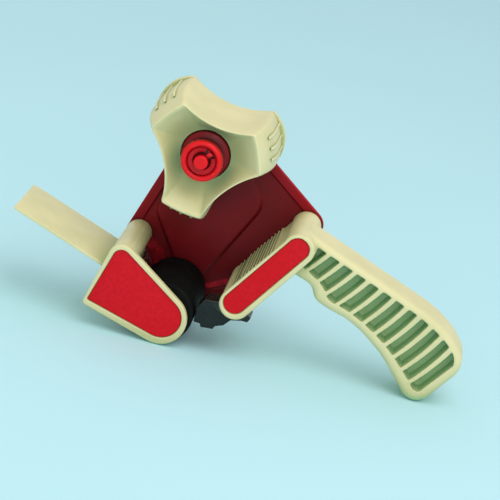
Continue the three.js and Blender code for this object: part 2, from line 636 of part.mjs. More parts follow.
function addHandle() {
  add('handle', handle(), CREAM);
  const floor = BAR_ENDS[1] - LABEL_DEPTH + 0.25;
  add('guide_label', bar(BAR_LABEL_RADIUS, floor, floor + LABEL_THICKNESS), RED_LABEL);
  add('tape_retainer', tapeRetainer(), BLACK);
}

// A pan-head screw driven through the plate
function plateScrew(centre) {
  const top = -HEAD_GAP;
  return turned([[0, top - 2.2], [2.4, top - 2.2], [SCREW_HEAD_RADIUS, top - 1], [SCREW_HEAD_RADIUS, top],
    [SCREW_RADIUS, top], [SCREW_RADIUS, SCREW_LENGTH - 2], [0, SCREW_LENGTH - 1]], centre, 24);
}

// ---- Assembly ---------------------------------------------------------------------------------

add('side_plate', sidePlate(), RED_PAINT);
addAxle();
add('core_hub', coreHub(), CREAM);
addKnob();
addRoller();
addNose();
addHandle();
add('nose_screw', plateScrew(TUBE), STEEL);
add('handle_screw_1', plateScrew(BAR_TOP), STEEL);
add('handle_screw_2', plateScrew(BAR_FOOT), STEEL);

// Upright, with the origin on the floor under the middle of the whole
dispenser.rotation.x = Math.PI / 2;
dispenser.updateMatrixWorld(true);
const extent = new THREE.Box3().setFromObject(dispenser, true);
const centre = extent.getCenter(new THREE.Vector3());
dispenser.position.set(-centre.x, -centre.y, -extent.min.z);
dispenser.name = 'tape_dispenser';

export default dispenser;
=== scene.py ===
import json
import math

import bmesh
import bpy
import numpy as np
from mathutils import Matrix, Vector


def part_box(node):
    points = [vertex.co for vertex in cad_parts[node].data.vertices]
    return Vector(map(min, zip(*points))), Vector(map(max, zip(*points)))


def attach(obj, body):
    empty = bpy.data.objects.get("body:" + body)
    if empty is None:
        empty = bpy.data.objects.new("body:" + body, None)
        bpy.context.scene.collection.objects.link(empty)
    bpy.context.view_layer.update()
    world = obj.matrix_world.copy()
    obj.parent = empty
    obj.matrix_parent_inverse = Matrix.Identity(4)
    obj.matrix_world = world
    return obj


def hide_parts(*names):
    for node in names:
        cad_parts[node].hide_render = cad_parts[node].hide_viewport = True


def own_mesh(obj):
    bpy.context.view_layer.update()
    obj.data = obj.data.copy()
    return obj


# The looks of a hand-held dispenser for packing tape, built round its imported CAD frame.
#
# Shapes are drawn in side view, in millimetres: x runs towards the handle and y up, both from the
# hub's axis. Heights count from the side plate's inner face towards the open side. place() turns
# a finished shape into the frame's metres.

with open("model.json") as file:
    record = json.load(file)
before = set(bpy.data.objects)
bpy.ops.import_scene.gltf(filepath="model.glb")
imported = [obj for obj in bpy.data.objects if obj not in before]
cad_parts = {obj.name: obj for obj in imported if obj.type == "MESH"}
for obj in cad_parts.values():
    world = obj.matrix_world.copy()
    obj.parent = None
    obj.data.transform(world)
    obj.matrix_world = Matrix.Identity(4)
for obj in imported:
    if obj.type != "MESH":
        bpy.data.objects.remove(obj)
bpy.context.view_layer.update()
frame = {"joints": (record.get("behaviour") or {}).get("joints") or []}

MM = 0.001
HUB_FAR = 3.5                      # height of the hub's back edge
hub_joint = next(joint for joint in frame["joints"] if joint["name"] == "hub_spin")
hub_axis = Vector(hub_joint["pos_m"])
inner_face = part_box("core_hub")[1].y + HUB_FAR * MM
SIDE_VIEW = Matrix((
    (MM, 0, 0, hub_axis.x),
    (0, 0, -MM, inner_face),
    (0, MM, 0, hub_axis.z),
    (0, 0, 0, 1),
))

# ---- Driving dimensions, in millimetres and degrees --------------------------------------------

GAP = 0.3
VOXEL = 0.5
TURN_STEPS = 96
OUTLINE_STEPS = 240

TAPE_INNER = 2
TAPE_OUTER = 47
TUBE = (-29.9, -63.0)
ROLLER = (-3.4, -88.3)
BAR_TOP = (59.7, -35.1)
BAR_FOOT = (33.6, -73.2)

PLATE_THICKNESS = 1.6
PLATE_BORDER_RISE = 1.0
PLATE_DISH_RISE = 1.5
PLATE_CIRCLES = [(1.2, 0, 15.9), (*TUBE, 7.5), (*ROLLER, 12), (*BAR_FOOT, 9), (*BAR_TOP, 9)]
DISH_CIRCLES = [(0, -2, 13), (20.3, -31.5, 13.2), (3, -76, 8.5), (-14, -47, 9.5)]
HEAD_GAP = PLATE_THICKNESS + GAP

HUB_NEAR = 50
HUB_MOUTH = 37
HUB_MOUTH_RADIUS = 13.5
HUB_WEB = (18, 21)
HUB_FLANGE_TOP = 7
HUB_LOBES = (20, 140, 260)
HUB_LOBE_HALF = 20.5
HUB_CEILING = 34
HUB_TUBE_RADIUS = 15.4
HUB_STEPS = 360
WAIST_RIB_END = 20.9
CORE_RIB = [(35.5, 6.5), (37.7, 6.5), (37.6, 26), (36.9, 34), (35.4, 38.5), (34.5, 36)]   # radius, height
CORE_RIB_THICKNESS = 1.3
CORE_RIB_ANGLES = (-9.5, 0, 9.5)

AXLE_RADIUS = 4
AXLE_END = 44.2
KNOB_BASE = 41.1
KEY_ANGLE = 52
KEY_NOTCH_ANGLE = 22
SPRING_RADIUS = 8.4
SPRING_WIRE = 0.7
SPRING_TURNS = 4.5
SPRING_ENDS = (23.0, 35.6)

ROLLER_RADIUS = 17
ROLLER_CORE_RADIUS = 12
ROLLER_AXLE_RADIUS = 3
ROLLER_ENDS = (1.9, 47.4)

CHEEK_INNER = 48.3
CHEEK_OUTER = 52.3
CHEEK_CIRCLES = [(*TUBE, 7.7), (-43.5, -91.3, 2.3), (-3.2, -90.4, 14.6)]
CHEEK_LABEL_CIRCLES = [(*TUBE, 4.9), (-42.4, -89.3, 1), (-3, -89.6, 11.3)]
TUBE_RADIUS = 7.3
LABEL_DEPTH = 2
LABEL_THICKNESS = 0.9
AXLE_SEAT = 49.4

FLAP_ROOT = (-41.2, -70.2)
FLAP_SLOPE = -19.7
FLAP_LENGTH = 55
FLAP_THICKNESS = 1.6
FLAP_BEAD = 10
FLAP_BEAD_RADIUS = 1.7

BLADE_PLANE = -24.2
BLADE_THICKNESS = 0.8
BLADE_TOP = -72.5
BLADE_TIP = -98
BLADE_TEETH = 18
BLADE_TOOTH = 2.2
BLADE_SCREWS = (12, 37)
BLADE_SCREW_Y = -77.5
BLADE_HOLE_RADIUS = 1.7
CLAMP_FACES = (BLADE_PLANE + BLADE_THICKNESS + GAP, BLADE_PLANE + BLADE_THICKNESS + GAP + 1.5)

BAR_RADIUS = 7.75
BAR_ENDS = (1.3, 47)
BAR_FLANGE = 3.5
BAR_FLANGE_CIRCLES = [(60.2, -35.6, 8.4), (34, -74, 8.6)]
BAR_LABEL_RADIUS = 6
RIDGES = 14
RIDGE_PITCH = 2.6
RIDGE_HEIGHT = 0.9
RIDGE_ROOT = 5.9

GRIP_ENDS = (14, 39)
GRIP_EDGE = 4
GRIP_WEB = (25, 28)
RIB_SLOPE = 54.2
RIB_PITCH = 8.25
RIB_FIRST = 82.4
RIB_BOW = 130
RIBS = 11

LIT_BORDER = "border"                  # marks the painted highlight on the plate's raised border, fading towards the bottom
VALLEY_SHADE = "valley"                  # marks the points between the guide bar's ridges, which get painted shade

SCREW_RADIUS = 1.9
SCREW_HEAD_RADIUS = 3.8
SCREW_LENGTH = 14

# ---- Solids ------------------------------------------------------------------------------------


def solid(vertices, faces):
    """A closed mesh object in side view, its faces turned outwards"""
    mesh = bpy.data.meshes.new("solid")
    mesh.from_pydata([tuple(v) for v in vertices], [], faces)
    shape = bmesh.new()
    shape.from_mesh(mesh)
    bmesh.ops.remove_doubles(shape, verts=shape.verts, dist=1e-5)
    bmesh.ops.recalc_face_normals(shape, faces=shape.faces)
    shape.to_mesh(mesh)
    shape.free()
    obj = bpy.data.objects.new("solid", mesh)
    bpy.context.scene.collection.objects.link(obj)
    return obj


def skin(loops, ring=False):
    """A body through loops of points. A ring joins its last loop to its first; others get caps."""
    count = len(loops[0])
    faces = []
    for layer in range(len(loops) if ring else len(loops) - 1):
        a = layer * count
        b = (layer + 1) % len(loops) * count
        for i in range(count):
            j = (i + 1) % count
            faces.append((a + i, a + j, b + j, b + i))
    if not ring:
        last = (len(loops) - 1) * count
        faces.append(tuple(range(count)))
        faces.append(tuple(range(last, last + count)))
    return solid([point for loop in loops for point in loop], faces)


def combine(body, join=(), cut=(), common=()):
    """Joins, cuts and intersects closed bodies. The tools are used up."""
    for operation, tools in (("UNION", join), ("DIFFERENCE", cut), ("INTERSECT", common)):
        for tool in tools:
            step = body.modifiers.new("combine", "BOOLEAN")
            step.solver = "MANIFOLD"
            step.operation = operation
            step.object = tool
    settle(body)
    for tool in (*join, *cut, *common):
        bpy.data.objects.remove(tool)
    return body


def settle(obj):
    """Applies an object's modifiers to its mesh"""
    bpy.context.view_layer.update()
    graph = bpy.context.evaluated_depsgraph_get()
    mesh = bpy.data.meshes.new_from_object(obj.evaluated_get(graph))
    obj.modifiers.clear()
    obj.data = mesh


def moulded(obj, voxel=VOXEL, rounds=3, kept=0.5):
    """Gives every edge and corner of a plastic moulding the small radius that a mould leaves, then
    thins out the faces of its flat parts"""
    remesh = obj.modifiers.new("remesh", "REMESH")
    remesh.mode = "VOXEL"
    remesh.voxel_size = voxel
    smooth = obj.modifiers.new("smooth", "SMOOTH")
    smooth.factor = 0.5
    smooth.iterations = rounds
    thin = obj.modifiers.new("thin", "DECIMATE")
    thin.ratio = kept
    settle(obj)
    return obj


def moved(obj, matrix):
    obj.data.transform(matrix)
    return obj


def turned_to(degrees, centre=(0, 0)):
    """Turns about an axis along the heights"""
    return Matrix.Translation((*centre, 0)) @ Matrix.Rotation(math.radians(degrees), 4, "Z")


def soften(points, radius, steps=3, keep_axis=False):
    """A closed outline with its corners rounded. Points at x = 0 stay when keep_axis is set."""
    rounded = []
    for i, point in enumerate(points):
        here = Vector(point)
        if keep_axis and abs(here.x) < 1e-9:
            rounded.append(here)
            continue
        ends = []
        for other in (points[i - 1], points[(i + 1) % len(points)]):
            arm = Vector(other) - here
            ends.append(here + arm * min(radius / arm.length, 0.45))
        for k in range(steps + 1):
            t = k / steps
            rounded.append(ends[0] * (1 - t) ** 2 + here * 2 * t * (1 - t) + ends[1] * t ** 2)
    return rounded


def turned(profile, centre=(0, 0), edge=0.3, steps=TURN_STEPS):
    """A turned body: the profile is a closed list of (radius, height), its corners rounded by edge"""
    if edge:
        profile = soften(profile, edge, keep_axis=True)
    loops = []
    for i in range(steps):
        angle = 2 * math.pi * i / steps
        x, y = math.cos(angle), math.sin(angle)
        loops.append([(centre[0] + r * x, centre[1] + r * y, height) for r, height in profile])
    return skin(loops, ring=True)


def rod(centre, radius, low, high, edge=0, steps=TURN_STEPS):
    return turned([(0, low), (radius, low), (radius, high), (0, high)], centre, edge, steps)


def washer(centre, inner, outer, low, high, edge=0.25):
    return turned([(inner, low), (outer, low), (outer, high), (inner, high)], centre, edge)


def round_hull(circles, steps=OUTLINE_STEPS):
    """The outline drawn tight round circles (x, y, radius): its points and their outward normals"""
    angles = 2 * np.pi * np.arange(steps) / steps
    normals = np.column_stack([np.cos(angles), np.sin(angles)])
    table = np.array(circles, float)
    widest = (normals @ table[:, :2].T + table[:, 2]).argmax(1)
    return table[widest, :2] + table[widest, 2:] * normals, normals


def outline_of(points):
    """A closed line's points and outward normals, counterclockwise"""
    points = np.array([tuple(p) for p in points], float)
    along = np.roll(points, -1, 0) - points
    area = (points[:, 0] * np.roll(points[:, 1], -1) - points[:, 1] * np.roll(points[:, 0], -1)).sum()
    if area < 0:
        return outline_of(points[::-1])
    along /= np.linalg.norm(along, axis=1, keepdims=True)
    edge_normals = np.column_stack([along[:, 1], -along[:, 0]])
    normals = edge_normals + np.roll(edge_normals, 1, 0)
    normals /= np.linalg.norm(normals, axis=1, keepdims=True)
    return points, normals


def prism(outline, profile):
    """A body over an outline: the profile lists (inset, height) from one end to the other"""
    points, normals = outline
    loops = []
    for inset, height in profile:
        flat = points - inset * normals
        loops.append([(x, y, height) for x, y in flat])
    return skin(loops)


def round_ends(low, high, edge=0.5, steps=4):
    """The profile of a prism with rounded ends"""
    quarter = [math.pi / 2 * k / steps for k in range(steps + 1)]
    rise = [(edge * (1 - math.sin(a)), edge * (1 - math.cos(a))) for a in quarter]
    bottom = [(inset, low + height) for inset, height in rise]
    top = [(inset, high - height) for inset, height in reversed(rise)]
    return bottom + top


def straight(low, high):
    return [(0, low), (0, high)]


def block(low, high):
    """A plain cutter between two opposite corners"""
    (x0, y0, z0), (x1, y1, z1) = low, high
    corners = [(x0, y0), (x1, y0), (x1, y1), (x0, y1)]
    return skin([[(x, y, z) for x, y in corners] for z in (z0, z1)])


def spline(points, steps=10):
    """A smooth line through points"""
    points = [points[0], *points, points[-1]]
    line = []
    for a, b, c, d in zip(points, points[1:], points[2:], points[3:]):
        a, b, c, d = (Vector(p) for p in (a, b, c, d))
        for k in range(steps):
            t = k / steps
            cubic = (3 * b - 3 * c + d - a) * t ** 3 + (2 * a - 5 * b + 4 * c - d) * t ** 2
            line.append((cubic + (c - a) * t) / 2 + b)
    return [*line, Vector(points[-1])]


def bend(start, control, end, steps=10):
    """A quadratic curve, without its ends"""
    start, control, end = Vector(start), Vector(control), Vector(end)
    shares = [k / steps for k in range(1, steps)]
    return [start * (1 - t) ** 2 + control * 2 * t * (1 - t) + end * t ** 2 for t in shares]


def capsule(centres, radius):
    return round_hull([(*centre, radius) for centre in centres])


def cross_recess(radius, depth):
    """A cutter for a cross recess, its mouth at height 0 and its floor below"""
    arm, half = radius, radius * 0.3
    corners = [(arm, -half), (arm, half), (half, half), (half, arm), (-half, arm), (-half, half)]
    corners += [(-x, -y) for x, y in corners]
    levels = [(1.25, 0.3 * depth), (1, 0), (0.45, -depth)]
    return skin([[(x * size, y * size, z) for x, y in corners] for size, z in levels])


def screw(head, shank, length, head_height, recess=0.55):
    """A pan-head screw along the heights: its head stands below 0 and its shank above"""
    top = -head_height
    profile = [(0, top), (0.45 * head, top + 0.04), (0.8 * head, top + 0.3 * head_height)]
    profile += [(head, -0.35 * head_height), (head, 0), (shank, 0)]
    pitch = 1.2
    turns = int((length - 3) / pitch)
    for i in range(turns):
        profile += [(shank, i * pitch + 0.7), (shank - 0.35, i * pitch + 1.15)]
    profile += [(shank, length - 2.4), (0.4, length - 1.1), (0, length - 1)]
    body = turned(profile, edge=0.12)
    tool = moved(cross_recess(recess * head, 0.75 * head_height), Matrix.Rotation(math.pi, 4, "X"))
    return combine(body, cut=[moved(tool, Matrix.Translation((0, 0, top)))])


# ---- Materials ---------------------------------------------------------------------------------


def srgb(red, green, blue):
    """A display colour, 0 to 255, as linear light"""
    channels = [c / 255 for c in (red, green, blue)]
    return (*[c / 12.92 if c < 0.04045 else ((c + 0.055) / 1.055) ** 2.4 for c in channels], 1)


class Finish:
    """A material's nodes, built one at a time"""

    def __init__(self, name):
        self.material = bpy.data.materials.new(name)
        self.material.use_nodes = True
        self.tree = self.material.node_tree
        self.shader = self.tree.nodes["Principled BSDF"]
        self.place = self.add("TexCoord").outputs["Object"]

    def add(self, kind, sockets=None, **settings):
        node = self.tree.nodes.new("ShaderNode" + kind)
        for key, value in settings.items():
            setattr(node, key, value)
        for key, value in (sockets or {}).items():
            self.feed(node.inputs[key], value)
        return node

    def feed(self, socket, value):
        if isinstance(value, bpy.types.NodeSocket):
            self.tree.links.new(value, socket)
        else:
            socket.default_value = value

    def noise(self, scale, detail=3, roughness=0.5, stretch=(1, 1, 1)):
        place = self.add("Mapping", {"Vector": self.place, "Scale": stretch}).outputs[0]
        sockets = {"Vector": place, "Scale": scale, "Detail": detail, "Roughness": roughness}
        return self.add("TexNoise", sockets).outputs["Fac"]

    def span(self, value, low, high, start=0.0, end=1.0):
        """Maps low..high of a value to start..end"""
        sockets = {0: value, 1: low, 2: high, 3: start, 4: end}
        return self.add("MapRange", sockets, interpolation_type="SMOOTHSTEP").outputs[0]

    def mix(self, share, first, second):
        return self.add("Mix", {0: share, 6: first, 7: second}, data_type="RGBA").outputs[2]

    def scaled(self, value, factor):
        return self.add("Math", {0: value, 1: factor}, operation="MULTIPLY").outputs[0]

    def shade(self, reach, low, high, start=1.0, end=0.0):
        """How enclosed a point is, over a reach in metres"""
        nook = self.add("AmbientOcclusion", {"Distance": reach}, samples=6).outputs["AO"]
        return self.span(nook, low, high, start, end)

    def edges(self, low, high):
        """Where a surface turns sharply outwards"""
        return self.span(self.add("NewGeometry").outputs["Pointiness"], low, high)

    def paint(self, colour):
        self.feed(self.shader.inputs["Base Color"], colour)

    def rough(self, value, low, high):
        self.feed(self.shader.inputs["Roughness"], self.span(value, 0.25, 0.75, low, high))

    def bumps(self, *layers):
        """Stacked bumps, each a height and its depth in metres"""
        normal = None
        for height, depth in layers:
            sockets = {"Height": height, "Distance": depth, "Strength": 1.0}
            if normal:
                sockets["Normal"] = normal
            normal = self.add("Bump", sockets).outputs[0]
        self.feed(self.shader.inputs["Normal"], normal)

    def sockets(self, **values):
        """Plain numbers on the shader, with spaces written as underscores"""
        for key, value in values.items():
            self.shader.inputs[key.replace("_", " ")].default_value = value
        return self.material


def cream_plastic():
    """Glossy cream moulding, pale on worn edges, with painted shade: olive where it is half enclosed, green
    in deep pockets, dark between the guide bar's ridges
    """
    finish = Finish("cream_plastic")
    clouds = finish.noise(45, 4)
    body = finish.mix(finish.span(clouds, 0.35, 0.65), srgb(220, 212, 162), srgb(212, 205, 154))
    speck = finish.noise(900, 2, 0.6)
    body = finish.mix(finish.span(speck, 0.62, 0.8, 0, 0.25), body, srgb(190, 181, 130))
    # painted shade: olive, then green, then darker in fine crevices, wherever the moulding is enclosed
    body = finish.mix(finish.shade(0.014, 0.5, 0.98), body, srgb(188, 184, 128))
    body = finish.mix(finish.shade(0.045, 0.35, 0.9, 0.4), body, srgb(176, 178, 124))
    body = finish.mix(finish.shade(0.014, 0.22, 0.6), body, srgb(164, 202, 150))
    body = finish.mix(finish.shade(0.003, 0.25, 0.8, 0.3), body, srgb(120, 136, 88))
    # painted shade: dark green between the guide bar's ridges
    body = finish.mix(finish.add("Attribute", attribute_name=VALLEY_SHADE).outputs["Fac"], body, srgb(58, 74, 44))
    worn = finish.scaled(finish.edges(0.52, 0.6), finish.span(finish.noise(260, 3), 0.4, 0.6, 0.2, 0.8))
    finish.paint(finish.mix(worn, body, srgb(232, 226, 186)))
    finish.rough(finish.noise(120, 4), 0.36, 0.52)
    finish.bumps((finish.noise(60, 2), 0.00035), (finish.noise(2600, 2), 0.000025))
    return finish.sockets(Coat_Weight=0.08, Coat_Roughness=0.3, Specular_IOR_Level=0.35)


def red_paint():
    """Dark red enamel over pressed steel, with orange peel and wear. It has a painted highlight on the raised
    border and painted shade where the plate is enclosed
    """
    finish = Finish("red_paint")
    body = finish.mix(finish.span(finish.noise(35, 4), 0.35, 0.65), srgb(124, 12, 18), srgb(138, 14, 23))
    body = finish.mix(finish.span(finish.noise(1400, 1, 0.4), 0.6, 0.75, 0, 0.3), body, srgb(140, 18, 28))
    # painted highlight: a brighter red on the raised border
    border = finish.add("Attribute", attribute_name=LIT_BORDER).outputs["Fac"]
    body = finish.mix(border, body, srgb(158, 12, 26))
    # painted shade: near black where the plate is enclosed, round the tube and roller
    body = finish.mix(finish.shade(0.045, 0.2, 0.85, 0.85), body, srgb(40, 4, 8))
    worn = finish.scaled(finish.edges(0.53, 0.6), finish.span(finish.noise(300, 4), 0.42, 0.62, 0.25, 0.9))
    finish.paint(finish.mix(worn, body, srgb(168, 20, 34)))
    finish.rough(finish.noise(90, 3), 0.34, 0.46)
    finish.bumps((finish.noise(420, 2), 0.00006), (finish.noise(2200, 1), 0.00002))
    return finish.sockets(Coat_Weight=0.06, Coat_Roughness=0.2, Specular_IOR_Level=0.14)


def red_plastic():
    """Bright red moulding, with painted shade where it is enclosed"""
    finish = Finish("red_plastic")
    body = finish.mix(finish.span(finish.noise(140, 3), 0.35, 0.65), srgb(224, 12, 22), srgb(232, 18, 26))
    # painted shade: dark red where the moulding lies under or round other parts, as on the collar behind the
    # knob
    body = finish.mix(finish.shade(0.018, 0.3, 0.98, 0.95), body, srgb(72, 3, 14))
    worn = finish.scaled(finish.edges(0.53, 0.62), finish.span(finish.noise(500, 3), 0.4, 0.6, 0.1, 0.6))
    finish.paint(finish.mix(worn, body, srgb(240, 60, 56)))
    finish.rough(finish.noise(220, 3), 0.26, 0.4)
    finish.bumps((finish.noise(180, 2), 0.00008), (finish.noise(2800, 2), 0.00002))
    return finish.sockets(Coat_Weight=0.05, Coat_Roughness=0.2, Specular_IOR_Level=0.2)


def red_label():
    """A satin red panel, slightly mottled"""
    finish = Finish("red_label")
    mottle = finish.span(finish.noise(420, 5, 0.65), 0.38, 0.62)
    body = finish.mix(mottle, srgb(202, 14, 28), srgb(212, 20, 34))
    body = finish.mix(finish.span(finish.noise(60, 2), 0.4, 0.62, 0, 0.5), body, srgb(206, 12, 24))
    worn = finish.scaled(finish.edges(0.52, 0.6), finish.span(finish.noise(300, 3), 0.4, 0.6, 0.1, 0.7))
    finish.paint(finish.mix(worn, body, srgb(226, 84, 80)))
    finish.rough(finish.noise(300, 4), 0.36, 0.52)
    finish.bumps((finish.noise(700, 4), 0.00004), (finish.noise(80, 1), 0.0001))
    return finish.sockets(Coat_Weight=0.02, Coat_Roughness=0.3, Specular_IOR_Level=0.12)


def roller_rubber():
    """Black rubber, a little greyed by handling"""
    finish = Finish("roller_rubber")
    body = finish.mix(finish.span(finish.noise(70, 5), 0.4, 0.65), srgb(4, 6, 5), srgb(11, 14, 13))
    worn = finish.scaled(finish.edges(0.51, 0.57), finish.span(finish.noise(400, 3), 0.4, 0.6, 0.2, 0.8))
    finish.paint(finish.mix(worn, body, srgb(44, 48, 45)))
    finish.rough(finish.noise(180, 4), 0.65, 0.82)
    finish.bumps((finish.noise(1500, 4, 0.65), 0.00008), (finish.noise(110, 2), 0.00012))
    return finish.sockets(Specular_IOR_Level=0.1)


def black_plastic():
    """Black moulding whose sharp edges are painted a lighter green-grey: partly wear, partly a painted
    highlight where the edges catch the light
    """
    finish = Finish("black_plastic")
    body = finish.mix(finish.span(finish.noise(110, 4), 0.35, 0.65), srgb(8, 12, 10), srgb(15, 20, 17))
    # painted highlight and wear: sharp edges turn green-grey, standing in for the lit top edge
    worn = finish.scaled(finish.edges(0.54, 0.64), finish.span(finish.noise(350, 3), 0.38, 0.6, 0.3, 0.8))
    finish.paint(finish.mix(worn, body, srgb(84, 104, 86)))
    finish.rough(finish.noise(200, 3), 0.22, 0.34)
    finish.bumps((finish.noise(1600, 3), 0.00003), (finish.noise(150, 2), 0.0001))
    return finish.sockets(Coat_Weight=0.02, Coat_Roughness=0.3, Specular_IOR_Level=0.35)


def metal(name, light, dark, stretch, rough):
    """Brushed metal, duller and darker in patches, with painted shade in its crevices"""
    finish = Finish(name)
    grain = finish.noise(260, 5, 0.6, stretch)
    body = finish.mix(finish.span(grain, 0.35, 0.65), light, dark)
    # painted shade: darker grey where the metal is enclosed
    body = finish.mix(finish.shade(0.004, 0.3, 0.95, 0.7), body, srgb(60, 58, 56))
    worn = finish.scaled(finish.edges(0.52, 0.62), 0.6)
    finish.paint(finish.mix(worn, body, tuple(min(1, c * 1.35) for c in light[:3]) + (1,)))
    finish.rough(finish.noise(340, 3, 0.5, stretch), *rough)
    finish.bumps((grain, 0.00003), (finish.noise(900, 2), 0.00002))
    return finish.sockets(Metallic=1.0)


def fibre():
    """Pressed brown fibre"""
    finish = Finish("fibre")
    strands = finish.noise(800, 5, 0.7, (1, 0.2, 1))
    body = finish.mix(finish.span(strands, 0.35, 0.65), srgb(96, 62, 40), srgb(128, 88, 58))
    worn = finish.edges(0.52, 0.6)
    finish.paint(finish.mix(finish.scaled(worn, 0.6), body, srgb(160, 124, 90)))
    finish.rough(strands, 0.75, 0.92)
    finish.bumps((strands, 0.0001))
    return finish.sockets(IOR=1.45)


ACROSS = (1, 0.06, 1)
MATERIALS = {
    "cream_plastic": cream_plastic(),
    "red_paint": red_paint(),
    "red_plastic": red_plastic(),
    "red_label": red_label(),
    "roller_rubber": roller_rubber(),
    "black_plastic": black_plastic(),
    "steel": metal("steel", srgb(196, 198, 200), srgb(160, 164, 168), (1, 1, 0.2), (0.24, 0.42)),
    "blade_steel": metal("blade_steel", srgb(188, 192, 194), srgb(142, 148, 152), ACROSS, (0.18, 0.34)),
    "brass": metal("brass", srgb(206, 172, 96), srgb(172, 138, 70), (1, 1, 1), (0.24, 0.4)),
    "fibre": fibre(),
}


def place(obj, node, body, slot, sharp=35):
    """Stands a finished shape in the frame, in place of its CAD node"""
    obj.name = node + ".look"
    obj.data.name = obj.name
    obj.data.transform(SIDE_VIEW)
    obj.data.materials.clear()
    obj.data.materials.append(MATERIALS[slot])
    obj.data.polygons.foreach_set("use_smooth", [True] * len(obj.data.polygons))
    obj.data.set_sharp_from_angle(angle=math.radians(sharp))
    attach(obj, body)
    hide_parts(node)
    return obj


# ---- Side plate --------------------------------------------------------------------------------


def mark(obj, name, values):
    """Keeps a share from 0 to 1 at each point of a shape, for its paint"""
    attribute = obj.data.attributes.new(name, "FLOAT", "POINT")
    attribute.data.foreach_set("value", np.clip(values, 0, 1).astype(np.float32))
    return obj


def mark_lit_border(plate):
    # painted highlight: a share for the raised border's brighter red, fading towards the bottom of the plate
    spots = np.array([v.co.xy for v in plate.data.vertices])
    points, normals = round_hull(PLATE_CIRCLES)
    inset = ((points * normals).sum(1) - spots @ normals.T).min(1)
    fade = np.clip((spots[:, 1] + 80) / 50, 0.1, 1)
    return mark(plate, LIT_BORDER, fade * np.clip((5.6 - inset) / 0.8, 0, 1))


def side_plate():
    """A pressed sheet with a raised border and a raised dish, hollow behind both"""
    rise, back = PLATE_BORDER_RISE, -PLATE_THICKNESS
    front = [(0, 0.4), (0.12, 0.75), (0.5, rise), (4.5, rise), (4.95, 0.88), (5.6, 0.25)]
    front += [(6.1, 0.04), (6.6, 0)]
    groove = [(5.4, back), (4.9, back + 0.1), (4.3, back + 0.6), (1.9, back + 0.6)]
    groove += [(1.3, back + 0.1), (1.0, back)]
    edge = [(0.5, back), (0.14, back + 0.14), (0, back + 0.5)]
    sheet = prism(round_hull(PLATE_CIRCLES), [*groove, *edge, *front])
    slope = [(0, -1), (0, 0.02), (0.25, 0.1), (1.25, 1.25), (1.7, 1.46), (2.3, PLATE_DISH_RISE)]
    dish = prism(round_hull(DISH_CIRCLES), slope)
    under = [(1.2, back - 1), (1.2, back), (2.2, back + 0.8), (2.8, back + 1)]
    hollow = prism(round_hull(DISH_CIRCLES), under)
    holes = [
        rod(ROLLER, 7.2, 0, 4),
        rod((0, 0), AXLE_RADIUS + GAP, -3, 4),
        rod(ROLLER, ROLLER_AXLE_RADIUS + GAP, -3, 4),
        *[rod(centre, SCREW_RADIUS + GAP, -3, 4) for centre in (TUBE, BAR_TOP, BAR_FOOT)],
    ]
    seats = [rod((0, 0), 9.5, back, 0.5), rod(ROLLER, 6.8, back, -0.5)]
    sheet = combine(sheet, join=[dish], cut=[hollow])
    return combine(combine(sheet, join=seats), cut=holes)


place(mark_lit_border(side_plate()), "side_plate", "frame", "red_paint", 28)

# ---- Hub ---------------------------------------------------------------------------------------

hub_angles = np.radians(np.arange(HUB_STEPS) * 360 / HUB_STEPS)


def lobed(tip, waist, bulge, half=HUB_LOBE_HALF, soft=2):
    """The hub's radius at each angle. Lobes end on an arc of radius tip, flattened towards their
    chord as bulge falls to 0, and the sides between them curve in to the radius waist."""
    offset = (np.degrees(hub_angles) - HUB_LOBES[0] + 60) % 120 - 60
    beta = math.radians(half)
    side = math.pi / 3 - beta
    reach, span = tip * math.cos(side), tip * math.sin(side)
    curve = (span ** 2 + (reach - waist) ** 2) / (2 * (reach - waist))
    inner = np.radians(60 - np.abs(offset))
    flank = (waist + curve) * np.cos(inner)
    flank -= np.sqrt(np.maximum(curve ** 2 - ((waist + curve) * np.sin(inner)) ** 2, 0))
    chord = tip * math.cos(beta) / np.cos(np.radians(offset))
    radius = np.where(np.abs(offset) <= half, chord + (tip - chord) * bulge, flank)
    for _ in range(soft):
        radius = (np.roll(radius, 1) + radius + np.roll(radius, -1)) / 3
    return radius


def hub_wall(height):
    """The hub's outer radius, which tapers more and more towards the open side"""
    taper = max(0.0, height - 24) / (HUB_NEAR - 24)
    waist = 22.3 - 2.0 * (height - HUB_FAR) / (HUB_NEAR - HUB_FAR)
    return lobed(36.8 - 5.3 * taper ** 2, waist, 1 - 0.6 * taper)


